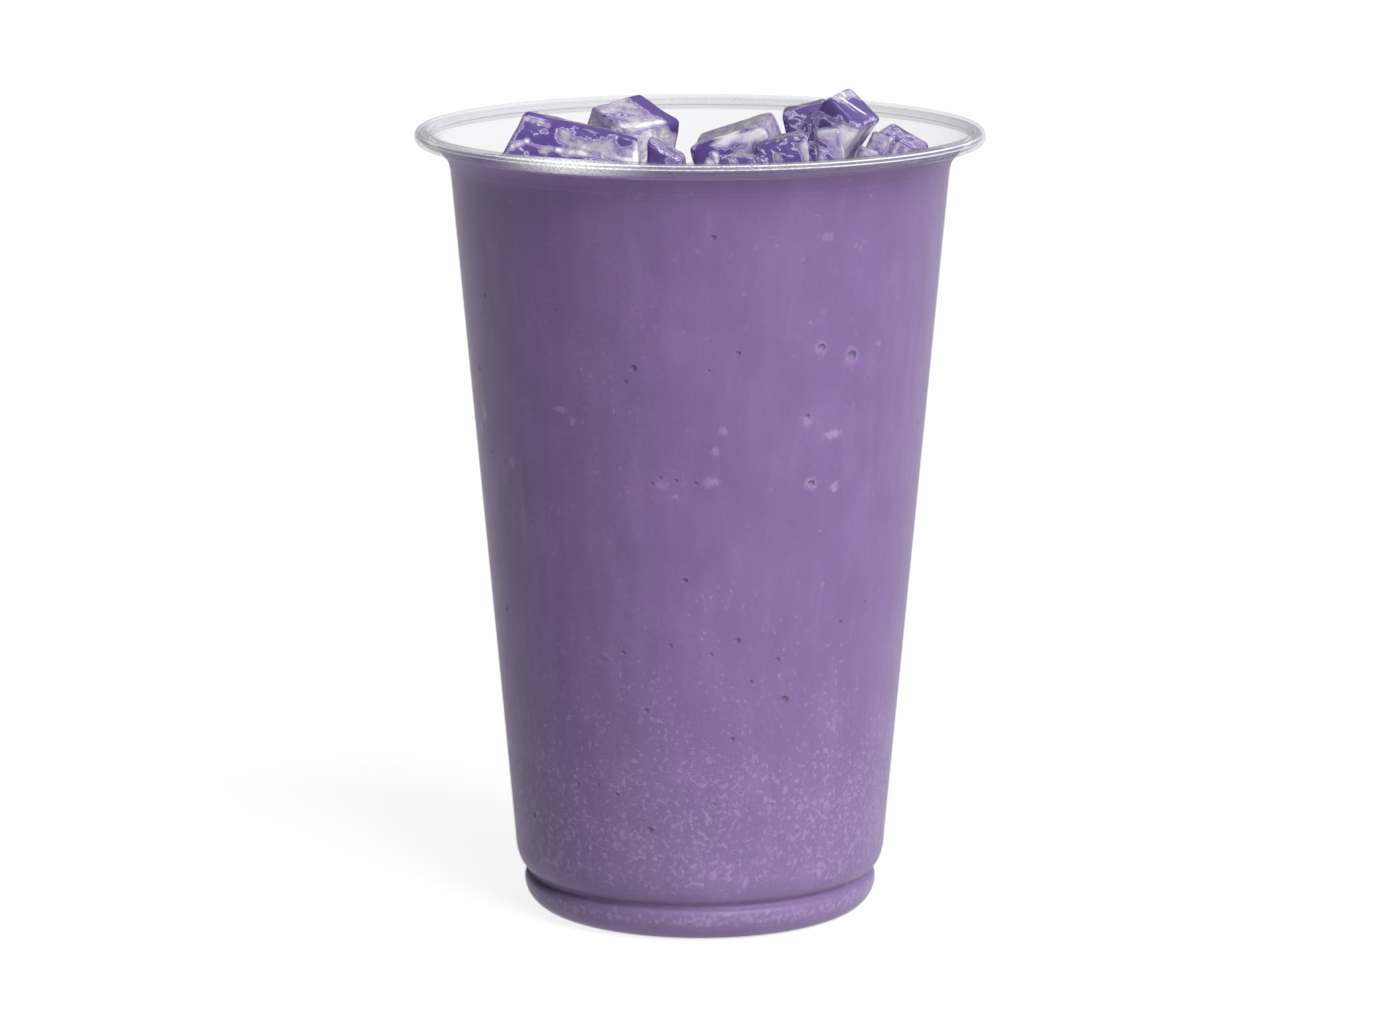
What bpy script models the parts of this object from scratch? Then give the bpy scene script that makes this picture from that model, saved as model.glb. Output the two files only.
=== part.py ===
"""Taro bubble tea in a clear plastic cup, with melting ice cubes at its top.

Lengths are in millimetres until a mesh is made, where MM turns them to metres. The cup
stands on z = 0 with its axis on Z, and its front is at -Y.
"""

import math
from typing import NamedTuple

import bmesh
import bpy
from mathutils import Euler, Matrix, Vector

MM = 0.001
STEPS = 64

# The cup, a thin formed wall with a rolled rim and a ring groove above its foot
HEIGHT = 132.5
RIM_RADIUS = 47.5
BEAD_RADIUS = 1.3
NECK_RADIUS = 41.75
NECK_HEIGHT = 126.9
FLARE_RADIUS = 43.9
FLARE_HEIGHT = 129.5
SHOULDER_RADIUS = 31.4
SHOULDER_HEIGHT = 12.0
GROOVE_RADIUS = 27.8
GROOVE_HEIGHT = 6.3
FOOT_RADIUS = 29.9
FOOT_CORNER = 4.8
FOOT_FLAT = 2.0
PANEL_RADIUS = 21.0
PANEL_LIFT = 2.1
WALL = 0.6

# The drink, which stands off the wall and the ice by GAP
GAP = 0.3
FILL_HEIGHT = 129.3
SCOOP_RADIUS = 46.0
SCOOP_TOP = 131.3
SCOOP_SLOPE = 0.1243
SCOOP_DEPTH = 13.0

ICE_EDGE = 0.9
ICE_EDGE_SHARE = 0.14
ROUND_OFF_ANGLE = math.radians(40)


class Ice(NamedTuple):
    """A piece of ice: a block that melted narrower at its top, tilted in degrees."""

    name: str
    size: tuple
    centre: tuple
    tilt: tuple
    taper: float
    lean: float = 0.0


ICE = (
    Ice("ice_left", (25, 15, 11.5), (-20.5, -13, 128.9), (-2, 13, -3), 0.76),
    Ice("ice_back_left", (12, 12.5, 15), (-12, 13, 126.6), (7, 21, -47), 0.9),
    Ice("ice_splinter", (7, 7, 8.5), (-3.8, -13, 125.2), (2, 26, -5), 0.95, -4.0),
    Ice("ice_middle", (14.5, 12.5, 15), (7.7, 2, 124.9), (5, -19, -11), 0.92),
    Ice("ice_front", (6.5, 7, 9), (6.5, -22, 126), (0, 0, -13), 0.88),
    Ice("ice_front_right", (9.5, 9, 13), (11.9, -11, 125.2), (0, -13, 4), 0.95, 2.8),
    Ice("ice_back_right", (8.5, 8, 12), (19, 16, 128.3), (0, -14, -3), 0.9),
    Ice("ice_tall", (9, 10, 11), (22.8, 4, 131.4), (4, 41, -23), 0.88),
    Ice("ice_chip_front", (5, 6, 10), (21.4, -11, 128.6), (0, -7, 3), 0.86),
    Ice("ice_chip_side", (3.6, 5.5, 7), (28.6, -9, 128.8), (6, 21, -4), 0.84),
    Ice("ice_chip_rim", (4.2, 5, 6), (26.6, -17.5, 128.0), (10, 24, 10), 0.84),
    Ice("ice_right", (8.5, 8.5, 12), (31.5, 3, 125.4), (3, 29, -17), 0.89),
)


def clear_scene():
    """Remove the objects that a new file starts with."""
    for obj in list(bpy.data.objects):
        bpy.data.objects.remove(obj)


def make_collection(name):
    """Add a collection to the scene."""
    collection = bpy.data.collections.new(name)
    bpy.context.scene.collection.children.link(collection)
    return collection


def make_material(name, colour, roughness, alpha=1.0, ior=1.45):
    """Make a Principled BSDF material that is no metal."""
    material = bpy.data.materials.new(name)
    material.use_nodes = True
    shader = material.node_tree.nodes["Principled BSDF"]
    shader.inputs["Base Color"].default_value = (*colour, 1.0)
    shader.inputs["Metallic"].default_value = 0.0
    shader.inputs["Roughness"].default_value = roughness
    shader.inputs["Alpha"].default_value = alpha
    shader.inputs["IOR"].default_value = ior
    return material


def arc(centre, radii, start, end, count):
    """Points of an ellipse's arc, from one angle in degrees to another, both included."""
    points = []
    for step in range(count + 1):
        angle = math.radians(start + (end - start) * step / count)
        points.append((centre[0] + radii[0] * math.cos(angle), centre[1] + radii[1] * math.sin(angle)))
    return points


def lower_outline():
    """The cup's outer side from the neck down to the middle of its base."""
    neck = [(NECK_RADIUS, NECK_HEIGHT)]
    shoulder = arc((GROOVE_RADIUS, SHOULDER_HEIGHT),
                   (SHOULDER_RADIUS - GROOVE_RADIUS, SHOULDER_HEIGHT - GROOVE_HEIGHT), 0, -78, 6)
    groove = [(GROOVE_RADIUS, GROOVE_HEIGHT)]
    bulge = arc((GROOVE_RADIUS, FOOT_CORNER),
                (FOOT_RADIUS - GROOVE_RADIUS, GROOVE_HEIGHT - FOOT_CORNER), 62, 0, 3)
    corner_centre = FOOT_RADIUS - FOOT_CORNER
    corner = arc((corner_centre, FOOT_CORNER), (FOOT_CORNER, FOOT_CORNER), -18, -90, 4)
    panel = [(corner_centre - FOOT_FLAT, 0.0), (PANEL_RADIUS, PANEL_LIFT), (0.0, PANEL_LIFT)]
    return neck + shoulder + groove + bulge + corner + panel


def inset(points, distance):
    """The same outline moved in by a distance, each point along the mean of its sides."""
    moved = []
    for index, point in enumerate(points):
        before = points[max(index - 1, 0)]
        after = points[min(index + 1, len(points) - 1)]
        here = Vector(point)
        sides = [(Vector(b) - Vector(a)).normalized() for a, b in ((before, here), (here, after))
                 if (Vector(b) - Vector(a)).length > 0]
        normals = [Vector((side.y, -side.x)) for side in sides]
        mean = sum(normals, Vector((0.0, 0.0))).normalized()
        reach = distance / max(mean.dot(normals[0]), 0.5)
        moved.append(tuple(here + mean * reach))
    return [(max(radius, 0.0), height) for radius, height in moved]


def cup_profile():
    """The wall's closed section, up the inside, over the rolled rim and down the outside."""
    outside = lower_outline()
    inside = inset(outside, WALL)
    inside[-1] = (0.0, inside[-1][1])
    bead_centre = (RIM_RADIUS - BEAD_RADIUS, HEIGHT - BEAD_RADIUS)
    bead = arc(bead_centre, (BEAD_RADIUS, BEAD_RADIUS), 150, -120, 9)
    flare_inside = (FLARE_RADIUS - WALL * 0.8, FLARE_HEIGHT + WALL)
    flare_outside = (FLARE_RADIUS, FLARE_HEIGHT)
    return inside[::-1] + [flare_inside] + bead + [flare_outside] + outside


def drink_profile():
    """The drink's half section, out along its level and down the inside of the wall."""
    side = inset(lower_outline(), WALL + GAP)
    side[-1] = (0.0, side[-1][1])
    flare_run = (FLARE_RADIUS - NECK_RADIUS) / (FLARE_HEIGHT - NECK_HEIGHT)
    rise = min(FILL_HEIGHT, FLARE_HEIGHT) - side[0][1]
    edge = (side[0][0] + flare_run * rise * 0.9, FILL_HEIGHT)
    return [(0.0, FILL_HEIGHT), edge] + side


def make_turned(name, profile, material, collection):
    """Turn a profile about Z with a Screw modifier."""
    mesh = bpy.data.meshes.new(name)
    points = [(radius * MM, 0.0, height * MM) for radius, height in profile]
    mesh.from_pydata(points, [(i, i + 1) for i in range(len(points) - 1)], [])
    turned = bpy.data.objects.new(name, mesh)
    collection.objects.link(turned)
    screw = turned.modifiers.new("Turn", "SCREW")
    screw.steps = STEPS
    screw.render_steps = STEPS
    screw.use_merge_vertices = True
    screw.merge_threshold = 0.00005
    screw.use_smooth_shade = True
    mesh.materials.append(material)
    return turned


def make_block(name, piece, grow, collection):
    """Make an ice block's plain shape, or its pocket where it grows by a clearance."""
    width, depth, height = piece.size
    shape = bmesh.new()
    bmesh.ops.create_cube(shape, size=1.0)
    for vertex in shape.verts:
        at_top = vertex.co.z > 0
        share = piece.taper if at_top else 1.0
        slide = piece.lean if at_top else 0.0
        vertex.co.x = (math.copysign(width * share / 2 + grow, vertex.co.x) + slide) * MM
        vertex.co.y = math.copysign(depth * share / 2 + grow, vertex.co.y) * MM
        vertex.co.z = math.copysign(height / 2 + grow, vertex.co.z) * MM
    mesh = bpy.data.meshes.new(name)
    shape.to_mesh(mesh)
    shape.free()
    block = bpy.data.objects.new(name, mesh)
    block.location = Vector(piece.centre) * MM
    block.rotation_euler = Euler([math.radians(angle) for angle in piece.tilt])
    collection.objects.link(block)
    return block


def make_ice(piece, material, collection):
    """Make one piece of ice with its melted, rounded edges."""
    ice = make_block(piece.name, piece, 0.0, collection)
    ice.data.shade_smooth()
    ice.data.set_sharp_from_angle(angle=ROUND_OFF_ANGLE)
    edges = ice.modifiers.new("Melted edges", "BEVEL")
    edges.width = min(ICE_EDGE, ICE_EDGE_SHARE * min(piece.size)) * MM
    edges.segments = 2
    ice.data.materials.append(material)
    return ice


def make_scoop(collection):
    """Make the leaning round cutter that dips the drink's top towards the back."""
    bpy.ops.mesh.primitive_cylinder_add(vertices=STEPS, radius=SCOOP_RADIUS * MM,
                                        depth=SCOOP_DEPTH * MM)
    scoop = bpy.context.object
    scoop.name = "scoop"
    half = SCOOP_DEPTH * MM / 2
    lean = Matrix.Identity(4)
    lean[1][2] = -1.0 / SCOOP_SLOPE
    to_top = Matrix.Translation((0.0, 0.0, -half))
    scoop.data.transform(Matrix.Translation((0.0, 0.0, SCOOP_TOP * MM)) @ lean @ to_top)
    for owner in list(scoop.users_collection):
        owner.objects.unlink(scoop)
    collection.objects.link(scoop)
    return scoop


def hide_cutter(cutter):
    """Show a cutter as a wire guide that is no part of the model."""
    cutter.display_type = "WIRE"
    cutter.hide_render = True


def cut_with(target, cutters):
    """Cut a collection of shapes out of an object."""
    cut = target.modifiers.new("Cut", "BOOLEAN")
    cut.operation = "DIFFERENCE"
    cut.operand_type = "COLLECTION"
    cut.collection = cutters
    cut.solver = "EXACT"


def main():
    """Build the cup, its drink and every piece of ice."""
    clear_scene()
    parts = make_collection("taro_bubble_tea")
    cutters = make_collection("cutters")
    clear_plastic = make_material("Clear plastic", (0.85, 0.87, 0.88), 0.08, alpha=0.3, ior=1.57)
    taro_drink = make_material("Taro drink", (0.27, 0.17, 0.38), 0.35)
    clear_ice = make_material("Clear ice", (0.78, 0.74, 0.88), 0.06, alpha=0.5, ior=1.31)

    make_turned("cup", cup_profile(), clear_plastic, parts)
    drink = make_turned("drink", drink_profile(), taro_drink, parts)
    hide_cutter(make_scoop(cutters))
    for piece in ICE:
        make_ice(piece, clear_ice, parts)
        hide_cutter(make_block("pocket_" + piece.name, piece, GAP, cutters))
    cut_with(drink, cutters)


main()
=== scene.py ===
"""The looks of an iced taro milk tea in a clear plastic cup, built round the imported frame.

Lengths are in millimetres until a mesh is made, where MM turns them to metres. The cup
stands on z = 0 with its axis on Z, and its front is at -Y.
"""

import logging
import math
import random
from dataclasses import dataclass
from enum import Enum
from functools import partial
from typing import Callable

import bmesh
import bpy
import numpy as np
from bmesh.types import BMesh
from bpy.types import ID, Material, Node, NodeSocket, NodeTree, Object
from mathutils import Euler, Matrix, Vector, noise
from mathutils.bvhtree import BVHTree
from mathutils.geometry import intersect_point_line

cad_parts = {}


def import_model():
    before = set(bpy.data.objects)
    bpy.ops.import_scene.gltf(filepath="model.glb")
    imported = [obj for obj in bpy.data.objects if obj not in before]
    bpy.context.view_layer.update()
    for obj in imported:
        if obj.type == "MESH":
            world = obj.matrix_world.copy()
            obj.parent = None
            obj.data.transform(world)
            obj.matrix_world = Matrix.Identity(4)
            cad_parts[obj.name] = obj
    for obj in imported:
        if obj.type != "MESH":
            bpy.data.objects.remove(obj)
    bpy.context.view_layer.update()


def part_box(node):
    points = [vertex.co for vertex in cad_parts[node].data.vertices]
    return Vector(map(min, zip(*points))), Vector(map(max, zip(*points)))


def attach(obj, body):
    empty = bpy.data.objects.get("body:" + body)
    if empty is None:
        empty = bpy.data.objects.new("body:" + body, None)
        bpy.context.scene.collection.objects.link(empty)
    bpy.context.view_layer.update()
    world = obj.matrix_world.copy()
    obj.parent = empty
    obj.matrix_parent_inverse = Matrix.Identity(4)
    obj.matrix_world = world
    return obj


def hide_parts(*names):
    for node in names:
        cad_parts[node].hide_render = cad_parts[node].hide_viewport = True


MM = 0.001
MERGE_DISTANCE = 0.000002
SHARPEST_MITRE = 0.5
LOG = logging.getLogger("taro_tea")


class Clarity(Enum):
    """How much air a piece of ice holds, as bubbles for each cubic centimetre."""

    CLEAR = 3
    SEEDED = 10
    CLOUDY = 24


class Slot(Enum):
    """The record's material slots."""

    PLASTIC = "clear_plastic"
    DRINK = "taro_drink"
    ICE = "ice"


def linear(hex_colour: str) -> tuple[float, float, float, float]:
    """Turn an sRGB hex colour to linear RGBA.

    Args:
        hex_colour: The colour as "#RRGGBB".

    Returns:
        The linear colour with an alpha of 1.
    """
    channels = []
    for start in (1, 3, 5):
        value = int(hex_colour[start:start + 2], 16) / 255
        channels.append(value / 12.92 if value <= 0.04045 else ((value + 0.055) / 1.055) ** 2.4)
    return (*channels, 1.0)


def feed(node: Node, inputs: dict) -> None:
    """Set a node's inputs or link them.

    Args:
        node: The node that gets them.
        inputs: For each input's name or number, a value, an output, or a node whose first live
            output feeds it.
    """
    for key, value in inputs.items():
        if isinstance(value, Node):
            value = next(output for output in value.outputs if output.enabled)
        if isinstance(value, NodeSocket):
            node.id_data.links.new(value, node.inputs[key])
        else:
            node.inputs[key].default_value = value


def add_node(tree: NodeTree, kind: str, inputs: dict | None = None, **settings) -> Node:
    """Add a node with its settings, its values and its links.

    Args:
        tree: The node tree that gets the node.
        kind: The node's type without its ShaderNode, such as "Math".
        inputs: What feeds its inputs.
        settings: The node's own properties.

    Returns:
        The new node.
    """
    node = tree.nodes.new("ShaderNode" + kind)
    for name, value in settings.items():
        setattr(node, name, value)
    feed(node, inputs or {})
    return node


def new_material(name: str) -> tuple[Material, Node, Callable]:
    """Make a material with one Principled shader.

    Args:
        name: The material's name.

    Returns:
        The material, its shader, and the function that adds a node to it.
    """
    material = bpy.data.materials.new(name)
    material.use_nodes = True
    tree = material.node_tree
    return material, tree.nodes["Principled BSDF"], partial(add_node, tree)


def set_ramp(node: Node, stops: tuple) -> None:
    """Give a Color Ramp node its stops.

    Args:
        node: The Color Ramp node.
        stops: Each stop's position, and its hex colour or its grey from 0 to 1, in order.
    """
    ramp = node.color_ramp
    ramp.elements.remove(ramp.elements[-1])
    for number, (position, shade) in enumerate(stops):
        stop = ramp.elements.new(position) if number else ramp.elements[0]
        stop.position = position
        stop.color = linear(shade) if isinstance(shade, str) else (shade, shade, shade, 1.0)


def add_object(name: str, data: ID) -> Object:
    """Put an object with its data into the scene.

    Args:
        name: The object's name.
        data: Its mesh, light or camera.

    Returns:
        The new object, at the origin.
    """
    made = bpy.data.objects.new(name, data)
    bpy.context.scene.collection.objects.link(made)
    return made


def mesh_object(name: str, shape: BMesh, material: Material) -> Object:
    """Turn a bmesh into a smooth piece at the origin.

    Args:
        name: The piece's name.
        shape: The bmesh, which is freed.
        material: The piece's material.

    Returns:
        The new object, linked to the scene.
    """
    mesh = bpy.data.meshes.new(name)
    shape.to_mesh(mesh)
    shape.free()
    mesh.materials.append(material)
    mesh.shade_smooth()
    return add_object(name, mesh)


def settle(piece: Object) -> None:
    """Write an object's modifiers into its mesh.

    Args:
        piece: The object, which has no modifiers afterwards.
    """
    graph = bpy.context.evaluated_depsgraph_get()
    made = bpy.data.meshes.new_from_object(piece.evaluated_get(graph))
    piece.modifiers.clear()
    old = piece.data
    piece.data = made
    bpy.data.meshes.remove(old)
    made.name = piece.name


def mount(piece: Object, slot: Slot, *nodes: str) -> None:
    """Let a piece ride on the frame, in place of the CAD nodes that it stands for.

    Args:
        piece: The finished piece.
        slot: Not used.
        nodes: The CAD nodes that it replaces.
    """
    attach(piece, "root")
    if nodes:
        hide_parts(*nodes)
    LOG.info("%s: %d faces, stands for %s", piece.name, len(piece.data.polygons), ", ".join(nodes))


def arc(centre: tuple, radii: tuple, start: float, end: float, count: int) -> list[Vector]:
    """Points of an ellipse's arc, from one angle in degrees to another, both included.

    Args:
        centre: The ellipse's centre, as radius and height.
        radii: Its half width and half height.
        start: The first point's angle.
        end: The last point's angle.
        count: How many steps the arc takes.

    Returns:
        The points, as radius and height.
    """
    angles = [math.radians(start + (end - start) * step / count) for step in range(count + 1)]
    return [Vector((centre[0] + radii[0] * math.cos(a), centre[1] + radii[1] * math.sin(a)))
            for a in angles]


def inset(points: list[Vector], distance: float) -> list[Vector]:
    """Move an outline in by a distance, each point along the mean of its sides.

    Args:
        points: The outline, which runs down the cup's outer side.
        distance: How far it moves towards the cup's inside.

    Returns:
        The moved outline.
    """
    moved = []
    for index, here in enumerate(points):
        ends = (points[max(index - 1, 0)], points[min(index + 1, len(points) - 1)])
        sides = [s.normalized() for s in (here - ends[0], ends[1] - here) if s.length > 0]
        normals = [Vector((side.y, -side.x)) for side in sides]
        mean = sum(normals, Vector((0.0, 0.0))).normalized()
        place = here + mean * distance / max(mean.dot(normals[0]), SHARPEST_MITRE)
        moved.append(Vector((max(place.x, 0.0), place.y)))
    return moved


def spin_outline(points: list[Vector], steps: int) -> BMesh:
    """Turn an outline about Z into a surface with shared seam and poles.

    Args:
        points: The outline, as radius and height in millimetres.
        steps: How many steps the full turn takes.

    Returns:
        The turned surface, in metres.
    """
    shape = bmesh.new()
    verts = [shape.verts.new((p.x * MM, 0.0, p.y * MM)) for p in points]
    edges = [shape.edges.new(pair) for pair in zip(verts, verts[1:])]
    bmesh.ops.spin(shape, geom=verts + edges, cent=(0, 0, 0), axis=(0, 0, 1),
                   angle=math.tau, steps=steps, use_merge=True, use_duplicate=False)
    bmesh.ops.remove_doubles(shape, verts=shape.verts, dist=MERGE_DISTANCE)
    return shape


@dataclass(frozen=True)
class ClearPolypropylene:
    """Thermoformed clear polypropylene: thin, a little hazy, and frosted with grain where it is rolled,
    where highlight lines and grey shade are painted on.
    """

    tint: str = "#F4F5F6"
    # shade is the grey that the painted shade on the rim and at a slant mixes to
    shade: str = "#77748A"
    seen_through: str = "#F1F1F2"
    ior: float = 1.49
    roughness: float = 0.12
    facing_gloss: float = 0.025
    edge_gloss: float = 0.17
    slant_power: float = 5.0
    rim_low: float = 129.9
    rim_high: float = 132.5
    rim_blend: float = 0.05
    # The roll's lines by height: painted highlight lines, with painted grey shade between them
    painted_rim_lines: tuple = ((0.0, 0.02), (0.1, 0.04), (0.46, 0.06), (0.5, 0.03), (0.55, 0.42),
                        (0.64, 0.12), (0.7, 0.05), (0.79, 0.5), (0.87, 0.13), (1.0, 0.06))
    highlight_low: float = 0.2
    highlight_high: float = 0.36
    highlight_least: float = 0.15
    grain: float = 0.4
    grain_depth: float = 0.04
    speckle_range: tuple = (0.42, 0.58)
    speckle_least: float = 0.55
    dark_grain_range: tuple = (0.56, 0.44)
    # How far the rim's painted lines and grey fade from the front to the back
    front_fade_until: float = 25.0
    back_share: float = 0.35
    # The first patch is a painted highlight on the roll at the left front; the second lightens the rim's
    # left end
    white_patches: tuple = (((-21.0, -41.0, 130.8), 15.0, 0.72), ((-46.5, -7.0, 130.8), 24.0, 0.6))
    dark_grain_place: tuple = (38.9, -27.2, 130.8)
    dark_grain_reach: float = 30.0
    dark_grain_strength: float = 0.5
    foot_haze: float = 0.018
    foot_top: float = 45.0
    foot_low: float = 4.0

    def make(self) -> Material:
        """Make the material, which shows more of itself at the rim, in its white patches and at a slant,
        with painted highlights and shade on the rim.

        Returns:
            The material.
        """
        # A sheet so thin doesn't bend the view, so it is see-through with haze and reflection
        material, shader, add = new_material("Clear polypropylene")
        place = add("TexCoord").outputs["Object"]
        ways = add("SeparateXYZ", {0: place})
        height = ways.outputs["Z"]
        up = add("MapRange", {"Value": height, "From Min": self.rim_low * MM,
                              "From Max": self.rim_high * MM})
        # Painted highlight lines and painted grey bands run round the roll by height
        lines = add("ValToRGB", {"Fac": up})
        set_ramp(lines, self.painted_rim_lines)
        rim = add("MapRange", {"Value": up, "From Max": self.rim_blend})
        # The painted lines and grey on the rim show fully at the front and fade to back_share at the back
        painted_front_share = add("MapRange", {"Value": ways.outputs["Y"], "From Min": self.front_fade_until * MM,
                                "From Max": -self.front_fade_until * MM, "To Min": self.back_share})
        painted_front_share = add("Math", {0: painted_front_share, 1: rim}, operation="MULTIPLY")
        rim_shown = add("Math", {0: lines, 1: painted_front_share}, operation="MULTIPLY")
        # White patches: a painted highlight at the left front, and a lighter stretch at the rim's left end
        whitened = 0.0
        for spot, reach, strength in self.white_patches:
            patch = self.patch(add, place, rim, spot, reach, strength)
            whitened = add("Math", {0: patch, 1: whitened}, operation="ADD")
        # A darker grainy patch on the rim at the right front
        dark_patch = self.patch(add, place, rim, self.dark_grain_place, self.dark_grain_reach, self.dark_grain_strength)
        foot = add("MapRange", {"Value": height, "From Min": self.foot_top * MM,
                                "From Max": self.foot_low * MM, "To Min": self.facing_gloss,
                                "To Max": self.facing_gloss + self.foot_haze})
        grain = add("TexNoise", {"Vector": place, "Scale": 1 / (self.grain * MM), "Detail": 2.0})
        low, high = self.speckle_range
        speckle = add("MapRange", {"Value": grain, "From Min": low, "From Max": high,
                                   "To Min": self.speckle_least})
        haze = add("Math", {0: rim_shown, 1: whitened}, operation="ADD")
        haze = add("Math", {0: haze, 1: speckle, 2: foot}, operation="MULTIPLY_ADD")
        high, low = self.dark_grain_range
        dark = add("MapRange", {"Value": grain, "From Min": high, "From Max": low})
        dark_grain = add("Math", {0: dark_patch, 1: dark}, operation="MULTIPLY")
        haze = add("Math", {0: dark_grain, 1: haze}, operation="ADD")
        # At a slant more of the plastic shows and it turns grey: painted shade standing for the darker
        # reflection at the edges
        slant = add("LayerWeight", {"Blend": 0.5}).outputs["Facing"]
        edge = add("Math", {0: slant, 1: self.slant_power}, operation="POWER")
        shown = add("Math", {0: edge, 1: self.edge_gloss, 2: haze}, operation="MULTIPLY_ADD",
                    use_clamp=True)
        bump = add("Bump", {"Height": grain, "Strength": rim, "Distance": self.grain_depth * MM})
        # The light lines are painted highlights; between them and at a slant the plastic gets painted grey
        # shade
        painted_highlight = add("MapRange", {"Value": rim_shown, "From Min": self.highlight_low,
                                 "From Max": self.highlight_high, "To Min": self.highlight_least})
        painted_grey = 1.0
        steps = (("SUBTRACT", painted_highlight, False), ("MULTIPLY", painted_front_share, False), ("ADD", edge, False),
                 ("SUBTRACT", whitened, True), ("ADD", dark_grain, True))
        for operation, other, clamped in steps:
            painted_grey = add("Math", {0: painted_grey, 1: other}, operation=operation, use_clamp=clamped)
        colour = add("Mix", {"Factor": painted_grey, "A": linear(self.tint), "B": linear(self.shade)},
                     data_type="RGBA")
        feed(shader, {"Base Color": colour, "IOR": self.ior, "Roughness": self.roughness, "Normal": bump})
        clear = add("BsdfTransparent", {"Color": linear(self.seen_through)})
        mixed = add("MixShader", {0: shown, 1: clear, 2: shader})
        feed(material.node_tree.nodes["Material Output"], {"Surface": mixed})
        return material

    @staticmethod
    def patch(add: Callable, place: NodeSocket, rim: Node, centre: tuple, reach: float,
              strength: float) -> Node:
        """Add a soft patch on the rim.

        Args:
            add: The function that adds a node to the material.
            place: The output that gives Object coordinates.
            rim: The node that is 1 on the rim and 0 below it.
            centre: The patch's middle.
            reach: How far it fades out.
            strength: How much of it shows in its middle.

        Returns:
            The node that says how much of the patch shows.
        """
        away = add("VectorMath", {0: place, 1: Vector(centre) * MM}, operation="DISTANCE")
        faded = add("MapRange", {"Value": away, "From Min": reach * MM, "From Max": 0.0,
                                 "To Max": strength})
        return add("Math", {0: faded, 1: rim}, operation="MULTIPLY")


@dataclass(frozen=True)
class Mark:
    """A pale spot on the drink, where froth or a shred of taro lies against the wall, and, where it sits
    on an air bubble, a painted highlight on the bubble's lit rim.
    """

    angle: float
    height: float
    width: float
    tall: float
    shown: float


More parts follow.
